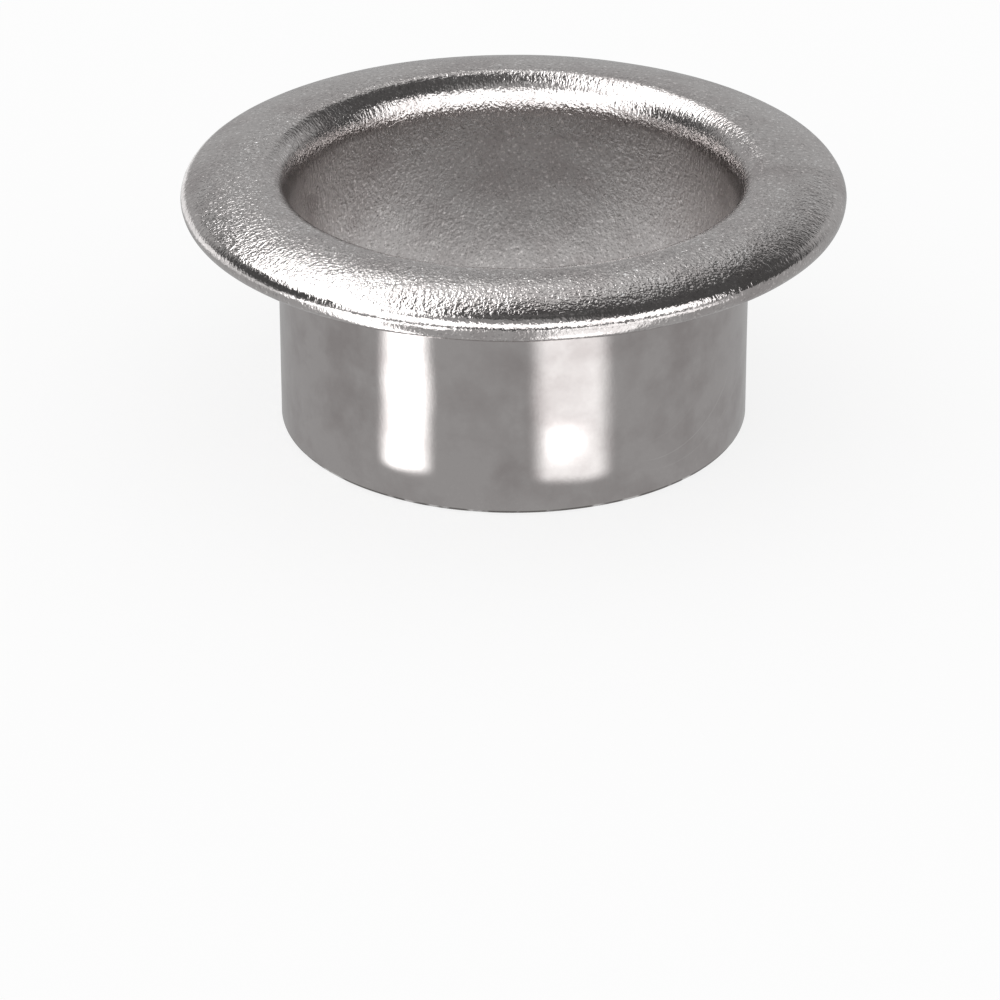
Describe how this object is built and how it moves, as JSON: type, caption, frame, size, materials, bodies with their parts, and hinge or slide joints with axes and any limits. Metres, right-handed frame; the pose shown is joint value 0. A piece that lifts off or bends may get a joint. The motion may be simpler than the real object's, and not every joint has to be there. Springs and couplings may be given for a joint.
{
  "type": "grommet eyelet",
  "caption": "Round sheet metal eyelet: an open barrel that flares at the throat into a domed brim, with its rim rolled under.",
  "frame": {"origin": "middle of the barrel's open end, on the surface that it stands on", "axes": "+Z along the barrel's axis, from the open end towards the brim"},
  "size_m": [0.017, 0.017, 0.0069],
  "materials": {
    "plated_sheet": "nickel plate, orange peel grain on the brim and in the hole, satin on the outside of the barrel"
  },
  "bodies": {
    "root": {"eyelet": "plated_sheet"}
  },
  "joints": []
}
